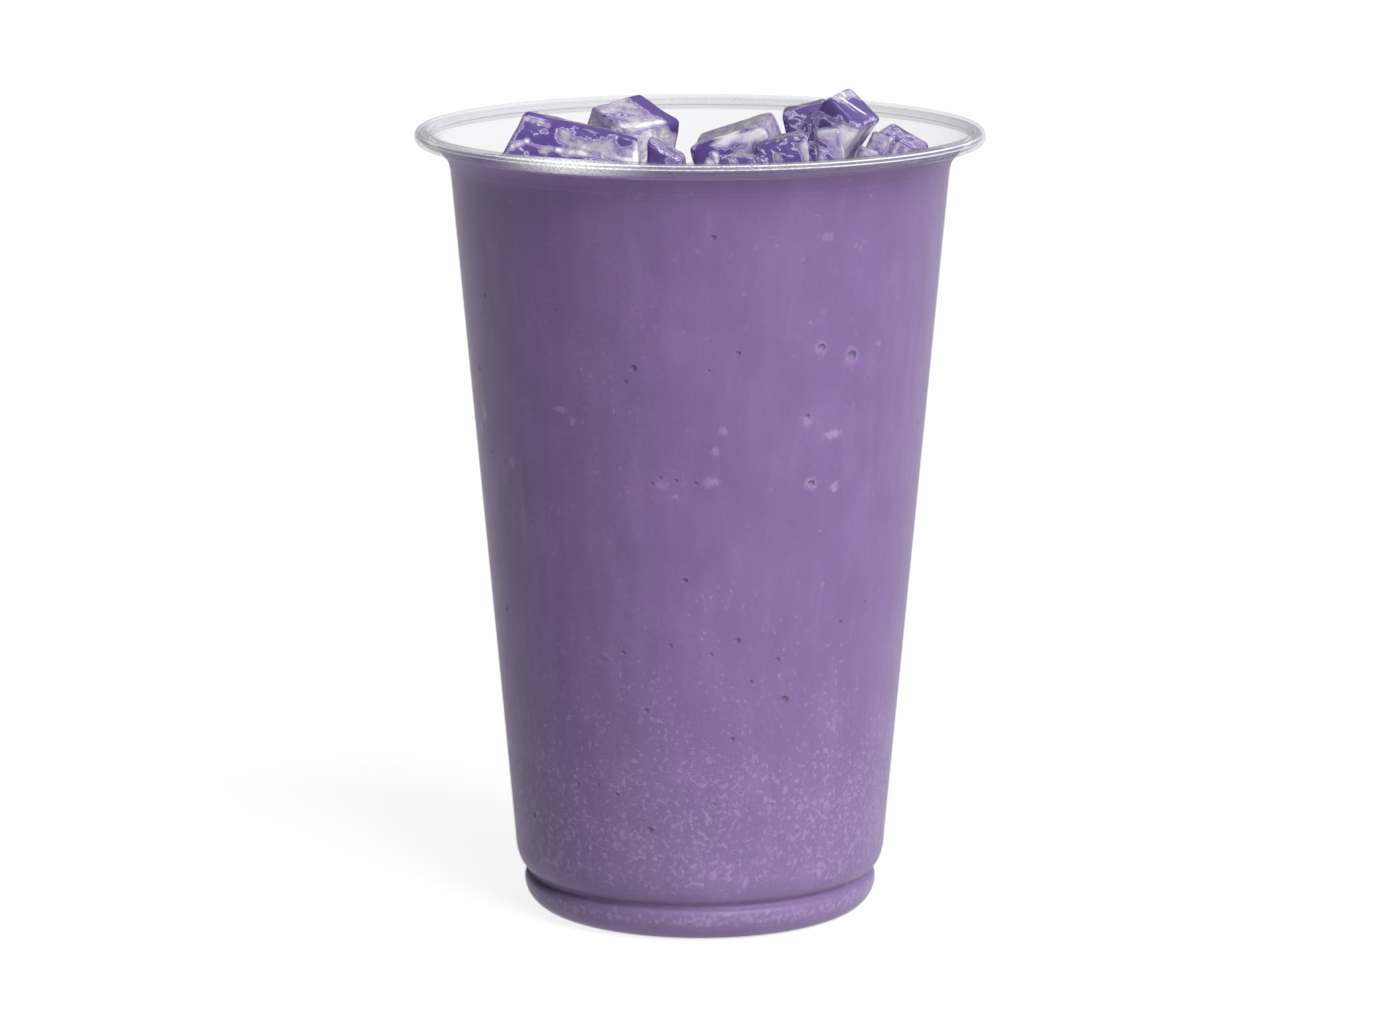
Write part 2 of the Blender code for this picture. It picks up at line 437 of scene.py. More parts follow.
@dataclass(frozen=True)
class TaroMilk:
    """Blended taro milk tea: opaque, creamy and wet, with pale shreds of taro that sank."""

    deep: str = "#624979"
    body: str = "#684E7F"
    pale: str = "#6F5586"
    shred: str = "#8B769E"
    roughness: float = 0.42
    ior: float = 1.35
    specular: float = 0.28
    milkiness: float = 0.35
    milk_depths: tuple = (1.0, 0.8, 1.0)
    milk_reach: float = 1.2
    blotch: float = 9.0
    streak: float = 3.0
    streak_squeeze: float = 0.25
    tone_range: tuple = (0.6, 1.4)
    grain: float = 0.9
    grain_depth: float = 0.3
    shred_length: float = 0.85
    shred_range: tuple = (0.08, 0.22)
    shred_most: float = 0.52
    crowding: float = 0.16
    mark_sway: float = 0.6
    mark_shift: float = 2.2
    mark_core: float = 0.3
    mark_most: float = 0.9
    sparse_above: float = 125.0
    # Shred thresholds by height; the stop at 4 mm makes the pale row under the groove, partly shreds and
    # partly a painted highlight
    settled_and_sheen: tuple = ((0.0, 0.66), (2.8, 0.6), (4.0, 0.42), (5.2, 0.58), (8.0, 0.62), (10.5, 0.51),
                      (18.0, 0.51), (34.0, 0.56), (60.0, 0.63), (125.0, 0.635))

    def make(self, marks: list[tuple[Vector, Mark]]) -> Material:
        """Make the material, with shreds that crowd the lower part of the drink.

        Args:
            marks: Each pale mark with its place.

        Returns:
            The material.
        """
        # Starch and milk hide what is behind them, so the drink is a matt body under a wet gloss
        material, shader, add = new_material("Taro milk tea")
        place = add("TexCoord").outputs["Object"]
        upright = add("Mapping", {"Vector": place, "Scale": (1.0, 1.0, self.streak_squeeze)})
        blotch = add("TexNoise", {"Vector": place, "Scale": 1 / (self.blotch * MM), "Detail": 5.0})
        streak = add("TexNoise", {"Vector": upright, "Scale": 1 / (self.streak * MM), "Detail": 2.0})
        mixed = add("Math", {0: blotch, 1: streak}, operation="ADD")
        low, high = self.tone_range
        tone = add("MapRange", {"Value": mixed, "From Min": low, "From Max": high})
        ramp = add("ValToRGB", {"Fac": tone})
        set_ramp(ramp, ((0.0, self.deep), (0.5, self.body), (1.0, self.pale)))
        pale = self.shreds(add, place)
        sway = add("TexNoise", {"Vector": place, "Scale": 1 / (self.mark_sway * MM), "Detail": 3.0})
        shift = Vector((1.0, 1.0, 1.0)) * self.mark_shift * MM
        bent = add("VectorMath", {0: sway.outputs["Color"], 1: shift, 2: place},
                   operation="MULTIPLY_ADD")
        for centre, mark in marks:
            spot = self.spot(add, bent, centre + shift / 2, mark)
            pale = add("Math", {0: pale, 1: spot}, operation="MAXIMUM")
        colour = add("Mix", {"Factor": pale, "A": ramp, "B": linear(self.shred)}, data_type="RGBA")
        grain = add("TexNoise", {"Vector": place, "Scale": 1 / (self.grain * MM), "Detail": 2.0})
        bump = add("Bump", {"Height": grain, "Strength": 0.2, "Distance": self.grain_depth * MM})
        feed(shader, {"Base Color": colour, "IOR": self.ior, "Roughness": self.roughness, "Normal": bump,
                      "Specular IOR Level": self.specular, "Subsurface Weight": self.milkiness,
                      "Subsurface Radius": self.milk_depths, "Subsurface Scale": self.milk_reach * MM})
        return material

    def spot(self, add: Callable, bent: Node, centre: Vector, mark: Mark) -> Node:
        """Add one pale mark with a soft outline.

        Args:
            add: The function that adds a node to the material.
            bent: The node that gives Object coordinates, moved about a little.
            centre: The mark's middle.
            mark: Its size and strength.

        Returns:
            The node that says how much of the mark shows.
        """
        scale = [2 / (size * MM) for size in (mark.width, mark.width, mark.tall)]
        back = [-part * share for part, share in zip(centre, scale)]
        moved = add("Mapping", {"Vector": bent, "Location": back, "Scale": scale})
        away = add("VectorMath", {0: moved}, operation="LENGTH")
        return add("MapRange", {"Value": away, "From Min": 1.0, "From Max": self.mark_core,
                                "To Max": mark.shown * self.mark_most})

    def shreds(self, add: Callable, place: NodeSocket) -> Node:
        """Add the pale shreds, which crowd low down, and the pale row under the groove, which is partly
        shreds and partly a painted highlight on the foot's curve.

        Args:
            add: The function that adds a node to the material.
            place: The output that gives Object coordinates.

        Returns:
            The node that says how much of a shred shows, from 0 to 1.
        """
        wave = add("TexNoise", {"Vector": place, "Scale": 1 / (self.shred_length * MM), "Detail": 3.0,
                                "Distortion": 0.4})
        height = add("SeparateXYZ", {0: place}).outputs["Z"]
        share = add("Math", {0: height, 1: self.sparse_above * MM}, operation="DIVIDE", use_clamp=True)
        need = add("ValToRGB", {"Fac": share})
        set_ramp(need, tuple((z / self.sparse_above, grey) for z, grey in self.settled_and_sheen))
        crowd = add("TexNoise", {"Vector": place, "Scale": 1 / (self.blotch * MM), "Detail": 2.0})
        over = add("Math", {0: wave, 1: need}, operation="SUBTRACT")
        over = add("Math", {0: crowd, 1: self.crowding, 2: over}, operation="MULTIPLY_ADD")
        low, high = self.shred_range
        return add("MapRange", {"Value": over, "From Min": low, "From Max": high,
                                "To Max": self.shred_most})


@dataclass(frozen=True)
class WetIce:
    """Melting ice: clear as glass, with white veins that are cloud and painted highlight, and painted
    purple on its faces that stands for the drink seen through it.

    tones run from the painted purple over its painted light outline, lavender and mist to clear ice and
    white, which is cloud and painted highlight, and see_through says how clear each tone is.
    """

    tones: tuple = ((0.34, "#53437A"), (0.43, "#63528A"), (0.446, "#D6CFE2"), (0.462, "#8B77AE"),
                    (0.49, "#8B77AE"), (0.53, "#BFB5D2"), (0.58, "#E2DEEB"), (0.7, "#EBEAEF"))
    see_through: tuple = ((0.43, 0.25), (0.53, 0.68), (0.64, 0.68), (0.74, 0.4))
    ior: float = 1.31
    roughness: float = 0.04
    specular: float = 0.35
    swirl: float = 5.5
    swirl_share: float = 0.7
    curl: float = 1.3
    curl_share: float = 0.3
    drawn_angle: float = 14.0
    drawn_out: float = 2.6
    ripple: float = 2.2
    ripple_depth: float = 0.3
    sway: float = 0.16

    def make(self) -> Material:
        """Make the material, whose painted purple and white follow the piece's milk attribute.

        Returns:
            The material.
        """
        # Frozen milky water scatters light, so cloud is less clear than the ice, and so is the painted
        # purple that stands for the drink seen through it
        material, shader, add = new_material("Wet ice")
        place = add("TexCoord").outputs["Object"]
        swirl = add("TexNoise", {"Vector": place, "Scale": 1 / (self.swirl * MM), "Detail": 5.0,
                                 "Roughness": 0.6, "Distortion": 1.3})
        drawn = add("Mapping", {"Vector": place, "Rotation": (0.0, math.radians(self.drawn_angle), 0.0),
                                "Scale": (self.drawn_out, 1.0, 1.0)}, vector_type="TEXTURE")
        curl = add("TexNoise", {"Vector": drawn, "Scale": 1 / (self.curl * MM), "Detail": 4.0,
                                "Distortion": 1.2})
        # milk paints purple for the drink seen through the ice, and white for cloud and highlight
        milk = add("Attribute", attribute_name="milk").outputs["Fac"]
        tone = 0.0
        for pattern, weight in ((swirl, self.swirl_share), (curl, self.curl_share),
                                (milk, -self.sway)):
            tone = add("Math", {0: pattern, 1: weight, 2: tone}, operation="MULTIPLY_ADD")
        colour = add("ValToRGB", {"Fac": tone})
        set_ramp(colour, self.tones)
        clarity = add("ValToRGB", {"Fac": tone})
        set_ramp(clarity, self.see_through)
        ripple = add("TexNoise", {"Vector": place, "Scale": 1 / (self.ripple * MM), "Detail": 3.0})
        bump = add("Bump", {"Height": ripple, "Strength": 0.35, "Distance": self.ripple_depth * MM})
        feed(shader, {"Base Color": colour, "IOR": self.ior, "Roughness": self.roughness, "Normal": bump,
                      "Specular IOR Level": self.specular, "Transmission Weight": clarity})
        return material


@dataclass
class Cup:
    """The clear cup: a thin tapered wall, a flared neck, a rolled rim and a grooved foot.

    Each arc is given as its first and last angle in degrees and its count of steps.
    """

    height: float
    rim_radius: float
    bead_radius: float = 1.3
    neck: tuple = (41.75, 126.9)
    flare: tuple = (43.9, 129.5)
    shoulder: tuple = (31.4, 12.0)
    groove: tuple = (28.2, 6.3)
    foot_radius: float = 29.9
    foot_corner: float = 4.8
    foot_flat: float = 2.0
    panel: tuple = (21.0, 2.1)
    wall: float = 0.6
    flare_share: float = 0.8
    shoulder_arc: tuple = (0, -58, 12)
    bulge_arc: tuple = (40, 0, 6)
    corner_arc: tuple = (-8, -90, 10)
    roll_arc: tuple = (128, -140, 26)
    hollow_steps: int = 8
    steps: int = 256

    def outer_side(self) -> list[Vector]:
        """Lay out the outside.

        Returns:
            The points from the neck down to the middle of the base, as radius and height.
        """
        groove = Vector(self.groove)
        neck = [Vector(self.neck)]
        width, rise = self.shoulder
        shoulder = arc((groove.x, rise), (width - groove.x, rise - groove.y), *self.shoulder_arc)
        bulge = arc((groove.x, self.foot_corner),
                    (self.foot_radius - groove.x, groove.y - self.foot_corner), *self.bulge_arc)
        # The groove is a soft bend between the shoulder's end and the bulge's start
        shares = [step / self.hollow_steps for step in range(1, self.hollow_steps)]
        hollow = [shoulder[-1].lerp(groove, s).lerp(groove.lerp(bulge[0], s), s) for s in shares]
        centre = self.foot_radius - self.foot_corner
        corner = arc((centre, self.foot_corner), (self.foot_corner, self.foot_corner),
                     *self.corner_arc)
        panel = [Vector(p) for p in ((centre - self.foot_flat, 0.0), self.panel, (0.0, self.panel[1]))]
        return neck + shoulder + hollow + bulge + corner + panel

    def sheet(self) -> list[Vector]:
        """Lay out the wall's inner face.

        Returns:
            The points from the middle of the base up to the end of the rolled rim.
        """
        bead = (self.rim_radius - self.bead_radius, self.height - self.bead_radius)
        roll = arc(bead, (self.bead_radius, self.bead_radius), *self.roll_arc)
        flare = Vector((self.flare[0] - self.wall * self.flare_share, self.flare[1] + self.wall))
        return inset(self.outer_side(), self.wall)[::-1] + [flare] + roll

    def build(self, material: Material) -> Object:
        """Spin the inner face and give it its wall.

        Args:
            material: The clear plastic.

        Returns:
            The cup, mounted on the frame.
        """
        shape = spin_outline(self.sheet(), self.steps)
        bmesh.ops.recalc_face_normals(shape, faces=shape.faces)
        # The open sheet has to face the drink, not the table
        lowest = min(shape.faces, key=lambda f: f.calc_center_median().xy.length)
        if lowest.normal.z < 0:
            bmesh.ops.reverse_faces(shape, faces=shape.faces)
        cup = mesh_object("clear_cup", shape, material)
        wall = cup.modifiers.new("Wall", "SOLIDIFY")
        wall.thickness = self.wall * MM
        wall.offset = -1.0
        wall.use_even_offset = True
        settle(cup)
        mount(cup, Slot.PLASTIC, "cup")
        return cup


@dataclass(frozen=True)
class Pit:
    """An air bubble that dents the drink where it meets the wall."""

    angle: float
    height: float
    size: float


@dataclass(frozen=True)
class Vein:
    """A streak in the ice, between two points given as shares of the block's half size: painted purple for
    the drink seen through the ice where its milk is above 0, white cloud and painted highlight where it is
    below.
    """

    start: tuple
    end: tuple
    width: float
    milk: float


@dataclass(frozen=True)
class Ice:
    """A piece of ice: a block that melted narrower at its top, tilted in degrees.

    milk says how much painted purple, standing for the drink seen through the ice, its left, right, front,
    back and top faces carry, from -1, white of cloud and painted highlight, to 1, purple, and each vein
    adds its own.
    """

    node: str
    size: tuple
    centre: tuple
    tilt: tuple
    taper: float
    lean: float = 0.0
    milk: tuple = (0.3, 0.3, 0.3, 0.0, 0.0)
    veins: tuple = ()
    clarity: Clarity = Clarity.SEEDED


# Each piece's milk and veins paint purple for the drink seen through it, and white for cloud and highlight
ICE = (
    Ice("ice_left", (25, 15, 11.5), (-20.5, -13, 128.9), (-7, 13, -3), 0.76,
        milk=(0.8, -0.6, 0.8, 0.4, 0.9), clarity=Clarity.CLOUDY,
        veins=(Vein((-0.95, -1, 0.78), (-0.5, -1, 0.7), 0.4, -1.0),
               Vein((-0.3, -1, 0.55), (0.15, -1, 0.3), 1.4, -1.3),
               Vein((0.1, -1, 0.5), (0.95, -1, 0.45), 1.2, -1.1),
               Vein((-0.95, -1, -0.1), (-0.75, -1, 0.2), 0.5, -1.8),
               Vein((-0.75, -1, 0.2), (-0.2, -1, 0.1), 0.4, -1.5),
               Vein((-0.2, -1, 0.1), (0.9, -1, 0.3), 0.5, -1.6),
               Vein((-0.5, -1, 0.02), (-0.4, -1, 0.0), 0.4, -1.2),
               Vein((0.2, -1, 0.28), (0.9, -1, 0.14), 0.4, 1.2),
               Vein((1.0, -1, 0.9), (1.0, -1, -0.6), 0.4, -1.2))),
    Ice("ice_back_left", (12, 12.5, 15), (-12, 13, 126.6), (7, 21, -47), 0.9,
        milk=(-0.4, -0.9, -0.8, -0.2, -0.4), clarity=Clarity.CLOUDY,
        veins=(Vein((-0.9, 0.8, 1), (1, 0.9, 1), 2.5, 2.8),
               Vein((-0.3, -1, 1), (0.3, 0.2, 1), 0.6, 0.9),
               Vein((0.5, -0.9, 1), (0.8, 0.3, 1), 0.8, -0.9),
               Vein((0.98, 0.9, 0.9), (1, 0.95, 0.4), 0.7, 1.6))),
    Ice("ice_splinter", (7, 7, 8.5), (-3.8, -13, 125.2), (2, 26, -5), 0.95, -4.0,
        milk=(1.0, -0.2, 0.6, 0.5, 0.2),
        veins=(Vein((-1, -1, 0.9), (-0.4, -1, -0.9), 1.6, 1.2),
               Vein((0.4, -1, 0.6), (0.7, -1, -0.4), 1.3, -0.8))),
    Ice("ice_middle", (14.5, 12.5, 15), (7.7, 2, 124.9), (5, -19, -11), 0.92,
        milk=(0.3, -0.2, 0.25, 0.0, -0.35),
        veins=(Vein((-0.3, -1, 0.95), (0.9, -1, 0.85), 1.0, -1.4),
               Vein((-0.75, -1, 0.15), (-0.6, -1, 0.5), 0.9, -2.0),
               Vein((-0.45, -1, 0.8), (-0.3, -1, 0.0), 0.4, -2.2),
               Vein((0.0, -1, 0.1), (0.8, -1, 0.5), 0.4, -0.8),
               Vein((-0.95, -1, 0.6), (-0.7, -1, 0.85), 0.9, 1.3),
               Vein((-0.95, -1, 0.1), (-0.9, -1, 0.5), 0.8, 1.2))),
    Ice("ice_front", (6.5, 7, 9), (6.5, -22, 126), (0, 0, -13), 0.88,
        milk=(1.0, 0.5, 0.7, 0.4, 0.5),
        veins=(Vein((-0.2, -1, 0.9), (0.3, -1, 0.4), 0.7, -0.8),)),
    Ice("ice_front_right", (9.5, 9, 13), (11.9, -11, 125.2), (0, -13, 4), 0.95, 2.8,
        milk=(0.9, -0.5, 0.6, 0.3, 0.5), clarity=Clarity.CLEAR,
        veins=(Vein((-1, -1, 0.97), (1, -1, 0.97), 0.35, -2.4),
               Vein((-0.2, -1, 0.6), (-0.1, -1, -0.2), 0.7, -0.7),
               Vein((0.8, -1, 0.8), (0.9, -1, -0.2), 0.8, -1.2))),
    Ice("ice_back_right", (8.5, 8, 12), (19, 16, 128.3), (0, -14, -3), 0.9,
        milk=(0.9, 0.2, 0.65, 0.2, 0.8),
        veins=(Vein((-0.2, -1, 0.3), (0.9, -1, 0.7), 0.5, -2.2),
               Vein((-0.8, -1, -0.15), (-0.3, -1, 0.0), 1.0, -2.2))),
    Ice("ice_tall", (9, 10, 11), (22.8, 4, 131.4), (4, 41, -23), 0.88,
        milk=(-0.3, -0.3, 0.4, 0.2, 0.5), clarity=Clarity.CLEAR,
        veins=(Vein((-0.8, -0.6, 1), (-0.7, 0.6, 1), 1.3, -1.1),
               Vein((-0.68, -0.35, 1), (0.47, 0.18, 1), 0.35, -2.6),
               Vein((0.0, 0.5, 1), (0.6, 0.9, 1), 1.3, 1.6),
               Vein((-0.2, -0.8, 1), (0.6, -0.5, 1), 1.0, 1.2),
               Vein((0.7, -1, 0.4), (0.9, -1, -0.4), 2.2, -1.8),
               Vein((1, -0.6, 0.5), (1, -0.5, -0.6), 2.0, -1.5),
               Vein((-0.8, -1, 0.6), (-0.4, -1, 0.8), 1.2, 1.2))),
    Ice("ice_chip_front", (5, 6, 10), (21.4, -11, 128.6), (0, -7, 3), 0.86,
        milk=(0.2, -0.4, -0.25, 0.0, -0.5), clarity=Clarity.CLOUDY,
        veins=(Vein((-0.2, -1, 0.1), (0.5, -1, -0.3), 0.8, 1.2),
               Vein((-0.6, -1, 0.6), (-0.2, -1, 0.5), 0.4, 1.0))),
    Ice("ice_chip_side", (3.6, 5.5, 7), (28.6, -9, 128.8), (6, 21, -4), 0.84,
        milk=(-0.5, -0.6, -0.8, 0.0, -0.4)),
    Ice("ice_chip_rim", (4.2, 5, 6), (26.6, -17.5, 128.0), (10, 24, 10), 0.84,
        milk=(-0.4, 0.3, -0.3, 0.0, -0.4)),
    Ice("ice_right", (8.5, 8.5, 12), (31.5, 3, 125.4), (3, 29, -17), 0.89,
        milk=(-0.4, 0.3, 0.15, 0.1, 0.4),
        veins=(Vein((-0.35, -1, 0.9), (-0.1, -1, -0.3), 0.5, -1.6),
               Vein((0.1, -1, 0.9), (0.3, -1, -0.1), 0.4, -1.2),
               Vein((-0.8, -1, 0.6), (-0.7, -1, -0.2), 0.7, 0.9),
               Vein((0.5, -1, 0.9), (0.7, -1, -0.1), 0.4, -1.0))),
)


@dataclass
class IceHeap:
    """The ice cubes at the top of the drink, melted smooth, with air caught inside them."""

    pieces: tuple = ICE
    edge: float = 0.9
    edge_share: float = 0.14
    edge_segments: int = 4
    long_edge: float = 1.5
    cuts_per_mm: float = 2.0
    ripple: float = 0.3
    waves: tuple = ((5.0, 1.0), (2.2, 0.35))
    face_power: int = 12
    bend: float = 0.09
    bend_length: float = 3.0
    vein_power: int = 4
    line_from: float = 0.9
    line_blend: float = 0.07
    line_wave: float = 3.5
    line_even: float = 0.8
    line_broken: float = 0.9
    top_from: float = 0.85
    top_line: float = 1.4
    side_line: float = -1.5
    air_least: int = 2
    air_spread: float = 0.34
    air_radius: tuple = (0.12, 0.42)
    air_stretch: tuple = (1.0, 2.2)
    seed: int = 7

    def block(self, ice: Ice, grow: float) -> BMesh:
        """Make one piece's plain tapered block about the origin.

        Args:
            ice: The piece of ice.
            grow: How far each face moves out.

        Returns:
            The block, in metres.
        """
        shape = bmesh.new()
        bmesh.ops.create_cube(shape, size=1.0)
        for vertex in shape.verts:
            top = vertex.co.z > 0
            share = ice.taper if top else 1.0
            half = (ice.size[0] * share / 2, ice.size[1] * share / 2, ice.size[2] / 2)
            vertex.co = Vector([math.copysign(h + grow, c) for h, c in zip(half, vertex.co)]) * MM
            vertex.co.x += (ice.lean if top else 0.0) * MM
        return shape

    @staticmethod
    def placing(ice: Ice) -> Matrix:
        """The turn and the move that bring a block to its place."""
        turn = Euler([math.radians(angle) for angle in ice.tilt]).to_matrix().to_4x4()
        return Matrix.Translation(Vector(ice.centre) * MM) @ turn

    def melt(self, shape: BMesh, ice: Ice) -> None:
        """Round the block's edges and ripple its faces.

        Args:
            shape: The plain block, which is changed.
            ice: The piece of ice.
        """
        width = min(self.edge, self.edge_share * min(ice.size)) * MM
        bmesh.ops.bevel(shape, geom=list(shape.edges), offset=width, segments=self.edge_segments,
                        profile=0.5, affect="EDGES", material=-1)
        long_edges = [e for e in shape.edges if e.calc_length() > width * self.long_edge]
        bmesh.ops.subdivide_edges(shape, edges=long_edges, use_grid_fill=True,
                                  cuts=round(self.cuts_per_mm * max(ice.size)))
        shape.normal_update()
        start = Vector(ice.centre)
        for vertex in shape.verts:
            here = vertex.co / MM + start
            wave = sum(high * noise.noise(here / long) for long, high in self.waves)
            vertex.co += vertex.normal * wave * self.ripple * MM

    def paint_purple_and_white(self, shape: BMesh, ice: Ice) -> None:
        """Write how much painted purple, or white below 0, each point carries, from the faces it is near.

        Args:
            shape: The melted block, which gets the milk attribute.
            ice: The piece of ice.
        """
        layer = shape.verts.layers.float.new("milk")
        scale = Vector(ice.size) / 2
        for vertex in shape.verts:
            here = vertex.co / MM
            rise = min(1.0, max(0.0, 0.5 + here.z / ice.size[2]))
            width = 1 + (ice.taper - 1) * rise
            share = Vector(((here.x - ice.lean * rise) / width / scale.x, here.y / width / scale.y,
                            here.z / scale.z))
            ways = (-share.x, share.x, -share.y, share.y, share.z)
            near = [max(0.0, way) ** self.face_power for way in ways]
            milk = sum(n * m for n, m in zip(near, ice.milk)) / (sum(near) + 0.001)
            milk += self.edge_line(share, here + Vector(ice.centre))
            spot = share + self.bend * noise.noise_vector(here / self.bend_length + Vector(ice.centre))
            for vein in ice.veins:
                along = intersect_point_line(spot, Vector(vein.start), Vector(vein.end))[1]
                nearest = Vector(vein.start).lerp(Vector(vein.end), min(1.0, max(0.0, along)))
                away = Vector([g * s for g, s in zip(spot - nearest, scale)]).length
                milk += vein.milk * math.exp(-(away / vein.width) ** self.vein_power)
            vertex[layer] = milk

    def edge_line(self, share: Vector, place: Vector) -> float:
        """The line along an edge: a painted purple line round the top, for the drink seen through the
        edge, and white down the sides.

        Args:
            share: The point, in shares of the block's half size.
            place: The point's place for the noise that breaks the line up.

        Returns:
            What the line adds to the milk.
        """
        sizes = sorted((abs(share.x), abs(share.y), abs(share.z)))
        edge = min(1.0, max(0.0, (sizes[1] - self.line_from) / self.line_blend))
        broken = self.line_even + self.line_broken * noise.noise(place / self.line_wave)
        at_top = share.z > self.top_from
        return edge * broken * (self.top_line if at_top else self.side_line)

    def add_air(self, shape: BMesh, ice: Ice, luck: random.Random) -> None:
        """Add closed bubbles inside a piece, whose faces look into the air that they hold.

        Args:
            shape: The melted block, which gets the bubbles.
            ice: The piece of ice.
            luck: The seeded source of the bubbles' places.
        """
        volume = ice.size[0] * ice.size[1] * ice.size[2] / 1000
        spread = self.air_spread
        for _ in range(max(self.air_least, round(volume * ice.clarity.value))):
            radius = luck.uniform(*self.air_radius)
            spot = Vector([luck.uniform(-spread, spread) * side * ice.taper for side in ice.size]) * MM
            made = bmesh.ops.create_icosphere(shape, subdivisions=2, radius=radius * MM)
            faces = list({face for vertex in made["verts"] for face in vertex.link_faces})
            stretch = Matrix.Diagonal((1.0, 1.0, luck.uniform(*self.air_stretch), 1.0))
            bmesh.ops.transform(shape, matrix=Matrix.Translation(spot) @ stretch, verts=made["verts"])
            bmesh.ops.reverse_faces(shape, faces=faces)

    def build(self, material: Material) -> list[Object]:
        """Make every piece of ice.

        Args:
            material: The clear ice.

        Returns:
            The pieces, mounted on the frame.
        """
        made = []
        for number, ice in enumerate(self.pieces):
            shape = self.block(ice, 0.0)
            self.melt(shape, ice)
            self.paint_purple_and_white(shape, ice)
            self.add_air(shape, ice, random.Random(self.seed + number))
            shape.transform(self.placing(ice))
            piece = mesh_object("melted_" + ice.node, shape, material)
            mount(piece, Slot.ICE, ice.node)
            made.append(piece)
        return made


@dataclass
class Drink:
    """The taro milk tea: it fills the cup up to the neck and dips to the back under the ice."""

    cup: Cup
    heap: IceHeap
    fill: float = 129.3
    overlap: float = 0.05
    sink: float = 0.42
    scoop_radius: float = 46.0
    scoop_top: float = 131.3
    scoop_slope: float = 0.1243
    waves: tuple = ((7.0, 0.45), (2.4, 0.16))
    wet_rise: float = 0.55
    wet_reach: float = 0.7
    calm_rim: float = 14.0
    level_rounds: int = 4
    hair: float = 0.01
    crease: float = 35.0
    steps: int = 256
    top_rings: int = 84
    side_rings: int = 60
    pits: tuple = (
        Pit(-16, 98.0, 1.5), Pit(-18, 95.7, 0.9), Pit(-36, 106.7, 0.8), Pit(3, 119.7, 1.1),
        Pit(9, 100.6, 1.0), Pit(2, 97.9, 0.7), Pit(-4, 62.8, 1.2), Pit(-8, 51.7, 0.9),
        Pit(-15, 40.4, 1.2), Pit(9, 35.7, 1.0), Pit(14, 45.4, 0.9), Pit(-15, 19.9, 1.4),
        Pit(-12, 78.9, 0.8), Pit(-10, 80.0, 0.7), Pit(-6, 79.6, 0.8), Pit(-1, 79.1, 0.8),
        Pit(30, 100.8, 1.7), Pit(39, 98.9, 2.2), Pit(24, 41.9, 1.7), Pit(10, 52.5, 1.3),
        Pit(27, 89.5, 1.2), Pit(29, 78.2, 1.5),
    )
    # Marks at the air bubbles' places paint the bubbles' lit rims as highlights; the others are pale froth
    # and shreds
    marks: tuple = (
        Mark(30, 100.8, 3.0, 3.0, 0.7), Mark(39, 98.9, 3.8, 3.6, 0.75), Mark(48, 100.5, 1.8, 1.8, 0.6),
        Mark(30, 119.0, 3.4, 1.4, 0.5), Mark(27, 88.8, 2.6, 2.8, 0.65), Mark(34.7, 86.2, 4.6, 1.9, 1.0),
        Mark(5.8, 87.8, 2.0, 1.9, 0.7), Mark(3.8, 84.4, 2.1, 2.0, 0.6), Mark(3, 79.3, 3.8, 2.4, 0.65),
        Mark(-10, 78.8, 3.4, 1.8, 0.5), Mark(29, 78.2, 3.0, 2.9, 0.8), Mark(36, 77.3, 2.5, 2.1, 0.9),
        Mark(-70, 86.4, 2.8, 3.4, 1.0), Mark(-74, 83.6, 2.8, 2.6, 0.9),
        Mark(-36.5, 90.2, 3.8, 1.4, 0.65), Mark(-33, 88.4, 1.8, 1.9, 0.6), Mark(-56, 79.6, 2.0, 2.8, 0.6),
    )
    peaks: tuple = ((-38.6, -14.0, 1.1, 0.5), (-36.0, -20.0, 1.2, 0.7), (-34.9, -21.0, 0.9, 0.5))
    scattered: int = 70
    scattered_low: float = 16.0
    scattered_rise: float = 108.0
    scattered_crowd: float = 1.5
    scattered_size: tuple = (0.45, 1.1)
    shown_angle: float = 60.0
    shown_low: float = 60.0
    pit_flat: tuple = (1.0, 0.7, 0.9, 1.0)
    seed: int = 11

    def side(self) -> list[Vector]:
        """The drink's outer side from the neck down, just inside the wall's plastic."""
        # A real wall bends the view so that the drink seems to reach its outside
        return inset(self.cup.outer_side(), self.cup.wall - self.sink)

    def radius_at(self, height: float) -> float:
        """The drink's radius at a height.

        Args:
            height: Millimetres above the table, between the shoulder and the flare.

        Returns:
            The radius in millimetres.
        """
        flare = (self.cup.flare[0] - self.cup.wall + self.sink, self.cup.flare[1])
        # The top three points of the side, from low to high, and the end of the flare
        radii, heights = zip(*[tuple(p) for p in self.side()[2::-1]], flare)
        return float(np.interp(height, heights, radii))

    def level(self, x: float, y: float) -> float:
        """The height of the drink's smooth surface, which dips away from the front.

        Args:
            x: Millimetres to the right.
            y: Millimetres to the back.

        Returns:
            The height in millimetres.
        """
        front = math.sqrt(max(self.scoop_radius ** 2 - x * x, 0.0))
        return min(self.fill, self.scoop_top - (y + front) * self.scoop_slope)

    def edge_level(self, direction: Vector) -> float:
        """The height at which the surface meets the wall.

        Args:
            direction: The way out from the axis, seen from above.

        Returns:
            The height in millimetres, close enough after a few rounds.
        """
        height = self.fill
        for _ in range(self.level_rounds):
            place = direction * self.radius_at(height)
            height = self.level(place.x, place.y)
        return height

